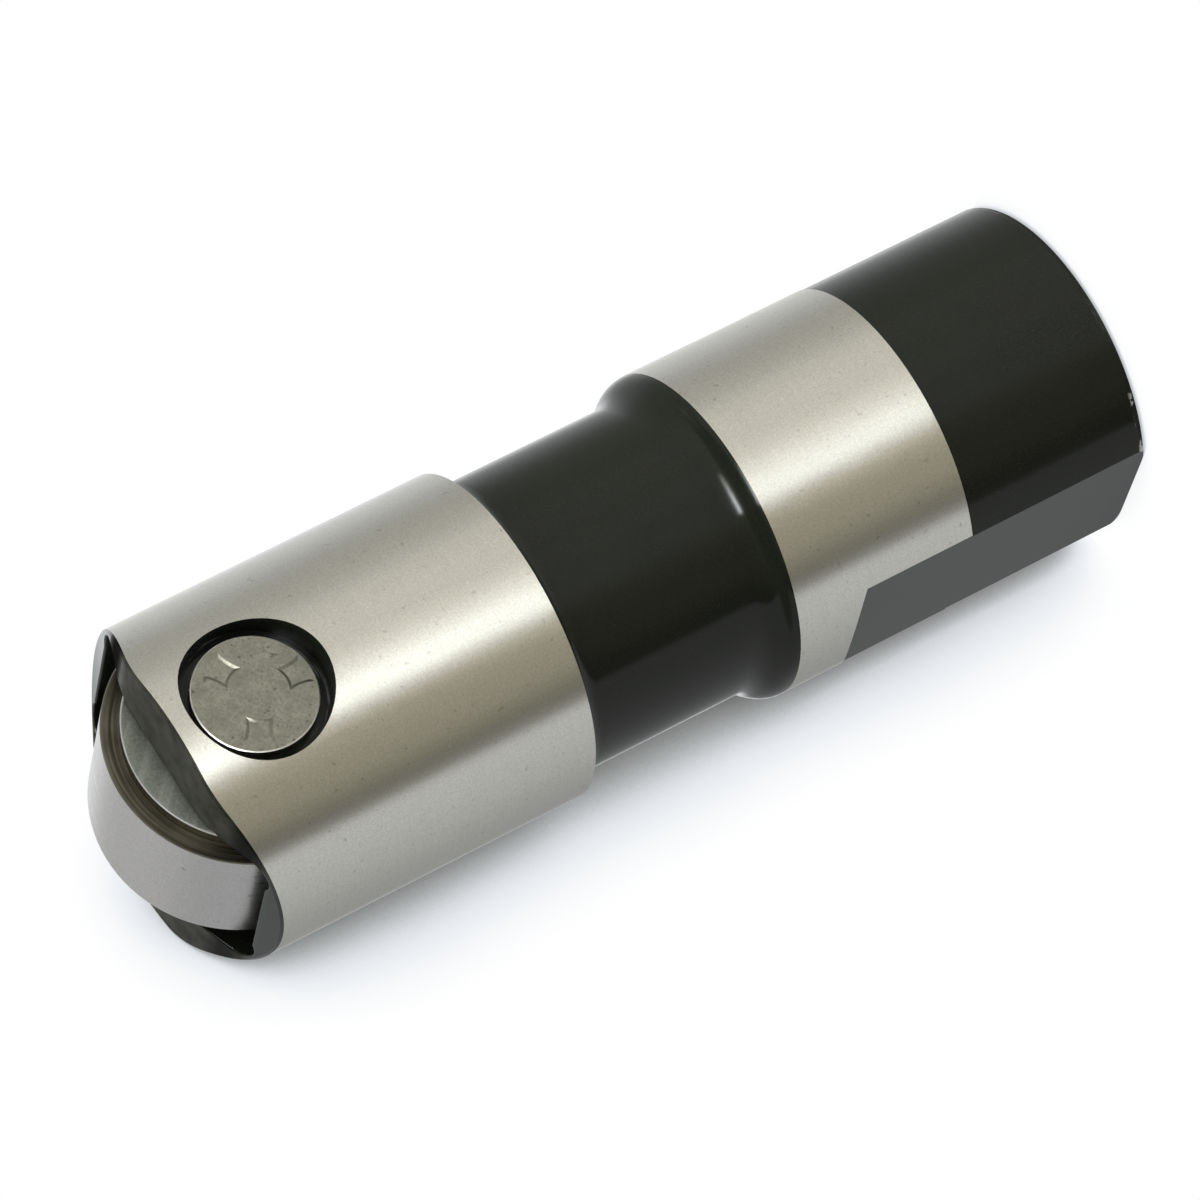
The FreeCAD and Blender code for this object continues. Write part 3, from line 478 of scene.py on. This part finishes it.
def washer_finish():
    """Satin disc with faint rub streaks, a painted highlight on its edge and a dark turned wall."""
    f = Finish("washer_steel")
    radius, angle, outward = f.round_axle()
    facing = f.vector("DOT_PRODUCT", f.face, outward)
    edge = f.math("MULTIPLY", f.between(facing, *CHAMFER), f.step(radius, WASHER_HIGHLIGHT_EDGE, 0.03 * MM))
    wall = f.step(facing, 0.9)
    turned = f.rings(f.y, angle, 6500.0, 0.8)
    streaks = f.rings(f.math("ADD", f.x, f.z), f.math("MULTIPLY", f.x, 20.0), 1500.0)
    grain = f.noise(f.place, 5200.0, 3.0, 0.7)
    color = f.mix(f.remap(grain, 0.3, 0.7), (0.215, 0.228, 0.195, 1), (0.35, 0.365, 0.325, 1))
    color = f.mix(f.remap(streaks, 0.5, 0.75, 0.0, 0.6), color, (0.50, 0.51, 0.47, 1))
    # painted highlight: the chamfered edge is lightened into a bright line
    color = f.mix(edge, color, (0.66, 0.66, 0.65, 1))
    dark = f.mix(f.remap(turned, 0.35, 0.65), (0.030, 0.026, 0.017, 1), (0.110, 0.099, 0.071, 1))
    color = f.mix(wall, color, dark)
    return f.shader({
        "Base Color": color,
        "Metallic": 1.0,
        "Roughness": f.remap(streaks, 0.3, 0.7, 0.36, 0.48),
        "Normal": f.bump(grain, FINE_DEPTH, 0.3),
    })


def pin_finish():
    """Turned end of the axle, satin and slightly blotched, with a painted highlight on its rounded
    rim.
    """
    f = Finish("pin_steel")
    radius, _, outward = f.round_axle()
    facing = f.vector("DOT_PRODUCT", f.face, outward)
    rim = f.math("MULTIPLY", f.between(facing, *CHAMFER), f.step(radius, AXLE_HIGHLIGHT_RIM, 0.04 * MM))
    blotch = f.noise(f.place, 1100.0, 4.0, 0.65)
    grain = f.noise(f.place, 6000.0, 2.0, 0.7)
    specks = f.remap(f.noise(f.place, 2800.0, 1.0), 0.66, 0.74)
    steep = f.between(f.math("ABSOLUTE", f.split(f.face)[1]), 0.2, 0.985)
    wall = f.math("MULTIPLY", steep, f.invert(f.step(radius, STAKE_REACH)))
    color = f.mix(f.remap(blotch, 0.35, 0.65), (0.203, 0.202, 0.170, 1), (0.278, 0.276, 0.232, 1))
    color = f.mix(f.remap(grain, 0.4, 0.7, 0.0, 0.6), color, (0.139, 0.136, 0.112, 1))
    color = f.mix(f.math("MULTIPLY", specks, 0.6), color, (0.045, 0.042, 0.034, 1))

    # the stake marks have rounded walls, darkened with painted shade, and fade out at the axle's rim
    out = f.math("ABSOLUTE", f.y)
    depth = f.remap(out, AXLE_HALF_LENGTH, AXLE_HALF_LENGTH - STAKE_DEPTH, -1.0, 1.0)
    curve = f.math("MULTIPLY", f.invert(f.math("ABSOLUTE", depth)), 2.4, clamp=True)
    shaded_lean = f.math("MULTIPLY", f.math("MULTIPLY", wall, curve), f.step(facing, -0.28))
    # painted shade on the stake marks' walls
    color = f.mix(f.math("MULTIPLY", shaded_lean, 0.40), color, (0.060, 0.056, 0.045, 1))
    # painted highlight on the rim's chamfer
    color = f.mix(rim, color, (0.52, 0.51, 0.48, 1))

    # the chamfer's rounded edge looks outward
    ahead = f.join(0.0, f.math("SIGN", f.y), 0.0)
    eased = f.vector("NORMALIZE", f.vector("ADD", f.smooth, ahead))
    turned = f.mix(f.math("MULTIPLY", steep, f.invert(shaded_lean)), f.smooth, ahead)
    turned = f.mix(rim, turned, eased)
    return f.shader({
        "Base Color": color,
        "Metallic": 1.0,
        "Roughness": f.remap(blotch, 0.3, 0.7, 0.30, 0.42),
        "Normal": f.bump(f.math("MULTIPLY_ADD", blotch, 0.5, grain), GRAIN_DEPTH, 0.3, turned),
    })


def plain_metal(name, low, high, rough, scale):
    """A metal whose colour, from low to high, and gloss vary with a fine grain."""
    f = Finish(name)
    grain = f.noise(f.place, scale, 4.0, 0.65)
    cloud = f.noise(f.place, 260.0, 2.0)
    varied = f.math("MULTIPLY_ADD", cloud, 0.5, f.math("MULTIPLY", grain, 0.5))
    return f.shader({
        "Base Color": f.mix(f.remap(varied, 0.35, 0.65), (*low, 1), (*high, 1)),
        "Metallic": 1.0,
        "Roughness": f.remap(grain, 0.3, 0.7, rough - 0.05, rough + 0.05),
        "Normal": f.bump(grain, FINE_DEPTH, 0.3),
    })


def lathe_metal(name, low, high, rough):
    """A metal turned or ground round the body's axis, with fine rings from low to high."""
    f = Finish(name)
    radius, angle, _ = f.round_z()
    lay = f.rings(f.math("ADD", f.z, radius), angle, 9000.0)
    grain = f.noise(f.place, 7000.0, 2.0, 0.7)
    varied = f.math("MULTIPLY_ADD", lay, 0.6, f.math("MULTIPLY", grain, 0.4))
    return f.shader({
        "Base Color": f.mix(f.remap(varied, 0.35, 0.65), (*low, 1), (*high, 1)),
        "Metallic": 1.0,
        "Roughness": f.remap(lay, 0.3, 0.7, rough - 0.05, rough + 0.05),
        "Normal": f.bump(varied, FINE_DEPTH, 0.3),
    })


def dress(frame):
    """Gives each node of the model the finish of its material slot."""
    finishes = {
        "body_steel": body_finish(),
        "roller_steel": roller_finish(),
        "washer_steel": washer_finish(),
        "pin_steel": pin_finish(),
    }
    for name, values in PLAIN_METALS.items():
        finishes[name] = plain_metal(name, *values)
    for name, values in LATHE_METALS.items():
        finishes[name] = lathe_metal(name, *values)
    slots = {part["node"]: part["material_slot"] for part in frame["record"]["subparts"]}
    for name, node in frame["nodes"].items():
        for material_slot in node.material_slots:
            material_slot.material = finishes[slots[name]]
    return slots


def add_springs(frame, slots):
    """Copies each spring that a joint deforms into an object of its own on the body that carries the
    spring, and hides the imported node."""
    behaviour = frame["record"]["behaviour"]
    carriers = {node: body for body, nodes in behaviour["bodies"].items() for node in nodes}
    for joint in behaviour["joints"]:
        for deforming in joint.get("deforming_nodes", ()):
            name = deforming["node"]
            node = frame["nodes"][name]
            place = node.matrix_world.copy()
            coil = bpy.data.objects.new(name + "_coil", node.data.copy())
            bpy.context.scene.collection.objects.link(coil)
            coil.matrix_world = place
            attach(coil, carriers[name])
            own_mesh(coil)
            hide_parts(name)


def add_camera():
    """Looks at the part as the photograph does, with the roll of the lying part."""
    azimuth = math.radians(CAMERA_AZIMUTH)
    elevation = math.radians(CAMERA_ELEVATION)
    roll = math.radians(CAMERA_ROLL)
    back = Vector((
        math.sin(azimuth) * math.cos(elevation),
        -math.cos(azimuth) * math.cos(elevation),
        math.sin(elevation),
    ))
    level_right = Vector((math.cos(azimuth), math.sin(azimuth), 0.0))
    level_up = back.cross(level_right)
    right = level_right * math.cos(roll) + level_up * math.sin(roll)
    up = level_up * math.cos(roll) - level_right * math.sin(roll)
    data = bpy.data.cameras.new("camera")
    data.sensor_width = SENSOR
    data.lens = FOCAL_PIXELS * SENSOR / PHOTO_SIZE
    data.clip_start = 0.01
    data.clip_end = 10.0
    camera = bpy.data.objects.new("camera", data)
    camera.matrix_world = Matrix.Translation(CAMERA_AIM + back * CAMERA_DISTANCE) @ Matrix(
        (right, up, back)
    ).transposed().to_4x4()
    bpy.context.scene.collection.objects.link(camera)
    bpy.context.scene.camera = camera


def stage_mesh(name, points, faces, material):
    """A surface of the stage, built as a plain mesh: floor, backdrop or studio panel."""
    mesh = bpy.data.meshes.new(name)
    mesh.from_pydata(points, [], faces)
    mesh.materials.append(material)
    piece = bpy.data.objects.new(name, mesh)
    bpy.context.scene.collection.objects.link(piece)
    return piece


def dome(radius, turns, rises):
    """Points and faces of a closed ball, in rings from its foot to its top."""
    points = []
    for row in range(1, rises):
        rise = math.pi * (row / rises - 0.5)
        for column in range(turns):
            turn = 2 * math.pi * column / turns
            points.append((
                radius * math.cos(rise) * math.cos(turn),
                radius * math.cos(rise) * math.sin(turn),
                radius * math.sin(rise),
            ))
    foot, top = len(points), len(points) + 1
    points += [(0, 0, -radius), (0, 0, radius)]
    faces = []
    last = (rises - 2) * turns
    for column in range(turns):
        following = (column + 1) % turns
        faces.append((foot, following, column))
        faces.append((top, last + column, last + following))
        for row in range(rises - 2):
            low, high = row * turns, (row + 1) * turns
            faces.append((low + column, low + following, high + following, high + column))
    return points, faces


def linear(level):
    """Scene value of a display level from 0 to 255."""
    share = level / 255
    return share / 12.92 if share < 0.04045 else ((share + 0.055) / 1.055) ** 2.4


def white_paper(name, tones):
    """White paper, shaded where the part shuts it off from the light around: each tone is
    a share of open surroundings and the display colour that the paper has there. Its back
    is clear, so that it doesn't hide the part."""
    material = bpy.data.materials.new(name)
    t = Tree(material)
    around = t.add("AmbientOcclusion", {"Distance": SHADOW_REACH}, samples=SHADOW_SAMPLES)
    colors = [(share, [linear(channel) for channel in color]) for share, color in tones]
    tone = t.ramp(around.outputs["AO"], colors)
    paper = t.add("BsdfDiffuse", {"Color": PAPER_COLOR}).outputs[0]
    glow = t.add("Emission", {"Color": tone, "Strength": 1.0}).outputs[0]
    front = t.add("MixShader", {0: t.shown(), 1: paper, 2: glow}).outputs[0]
    back = t.add("NewGeometry").outputs["Backfacing"]
    clear = t.add("BsdfTransparent").outputs[0]
    surface = t.add("MixShader", {0: back, 1: front, 2: clear})
    t.add("OutputMaterial", {"Surface": surface.outputs[0]})
    material.cycles.emission_sampling = "NONE"
    return material


def studio_material():
    """Soft light of the studio round the part, as its metal mirrors it: a ring of changing
    brightness, one softbox above it, a dim far side, and a bright ceiling that is partly unlit."""
    material = bpy.data.materials.new("studio")
    t = Tree(material)
    x, y, z = t.split(t.vector("NORMALIZE", t.add("TexCoord").outputs["Object"]))
    turn = t.math("ARCTAN2", y, x)
    share = t.remap(turn, -math.pi, math.pi)
    ring = t.ramp(share, [
        ((angle + 180) / 360, [channel * level / BRIGHTEST for channel in tint])
        for angle, level, tint in RING_LIGHTS
    ])
    far = t.math("MULTIPLY", t.step(z, FAR_FOOT, 0.20), t.step(share, FAR_START, 0.06))
    far_side = t.mix(far, ring, (*[FAR_LEVEL / BRIGHTEST] * 3, 1))
    ceiling = t.mix(t.step(z, CEILING_FOOT, 0.10), far_side, (1, 1, 1, 1))
    unlit = t.math("MULTIPLY", t.between(z, *UNLIT_RISE, 0.03), t.between(share, *UNLIT_TURN, 0.06))
    ceiling = t.mix(unlit, ceiling, UNLIT_COLOR)
    box_edge = t.step(share, BOX_START, 0.008)
    box_turn = t.math("MULTIPLY", box_edge, t.remap(share, BOX_END, BOX_FULL))
    box_rise = t.between(z, BOX_FOOT, BOX_TOP, 0.04)
    softbox = t.math("MULTIPLY", box_turn, box_rise)
    strength = t.blend(softbox, BRIGHTEST, SOFTBOX_LEVEL)
    color = t.mix(softbox, ceiling, SOFTBOX_COLOR)
    glow = t.add("Emission", {"Color": color, "Strength": strength})
    t.add("OutputMaterial", {"Surface": glow.outputs[0]})
    material.cycles.emission_sampling = "NONE"
    return material


def photo_sides():
    """Directions on the standing part that look up and along the ground in the photograph."""
    upper = Vector((math.cos(UPPER_SIDE), math.sin(UPPER_SIDE), 0))
    return upper, Vector((-upper.y, upper.x, 0))


def add_stage():
    """Floor, backdrop behind the part and the studio round it."""
    corners = ((-1, -1), (1, -1), (1, 1), (-1, 1))
    floor = stage_mesh(
        "floor",
        [(x * PAPER_REACH, y * PAPER_REACH, -FLOOR_GAP) for x, y in corners],
        [(0, 1, 2, 3)],
        white_paper("floor_paper", FLOOR_TONES),
    )
    floor.visible_glossy = False
    floor.visible_shadow = False

    upper, along = photo_sides()
    behind = -upper * LAND_RADIUS
    across = along * PAPER_REACH
    rise = Vector((0, 0, PAPER_REACH))
    backdrop = stage_mesh(
        "backdrop",
        [behind - across, behind + across, behind + across + rise, behind - across + rise],
        [(0, 1, 2, 3)],
        white_paper("backdrop_paper", UNDER_TONES),
    )
    backdrop.visible_glossy = False
    backdrop.visible_diffuse = False
    backdrop.visible_shadow = False

    studio = stage_mesh("studio", *dome(DOME_RADIUS, 96, 48), studio_material())
    studio.rotation_euler = (0, 0, UPPER_SIDE)
    studio.visible_camera = False
    studio.visible_diffuse = False
    studio.visible_shadow = False


def add_lamp(name, place, power):
    """A square lamp that lights the part and isn't mirrored in it."""
    data = bpy.data.lights.new(name, "AREA")
    data.shape = "SQUARE"
    data.size = LAMP_SIZE
    data.energy = power
    lamp = bpy.data.objects.new(name, data)
    lamp.location = place
    lamp.rotation_euler = (LAMP_AIM - place).to_track_quat("-Z", "Y").to_euler()
    lamp.visible_glossy = False
    bpy.context.scene.collection.objects.link(lamp)


def add_light():
    """One large lamp over the photograph's upper side, a weaker one above, and an even world."""
    upper, along = photo_sides()
    add_lamp("key", LAMP_AIM + upper * 0.55 + along * 0.25 + Vector((0, 0, 0.2)), KEY_POWER)
    add_lamp("top", LAMP_AIM + Vector((0.05, -0.1, 0.6)), TOP_POWER)

    world = bpy.data.worlds.new("world")
    bpy.context.scene.world = world
    t = Tree(world)
    strength = t.blend(t.shown(), WORLD_LEVEL, 1.0)
    glow = t.add("Background", {"Color": (1, 1, 1, 1), "Strength": strength})
    t.add("OutputWorld", {"Surface": glow.outputs[0]})


clear_scene()
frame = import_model()
add_springs(frame, dress(frame))
add_stage()
add_light()
add_camera()
bpy.context.scene.view_settings.view_transform = "Standard"
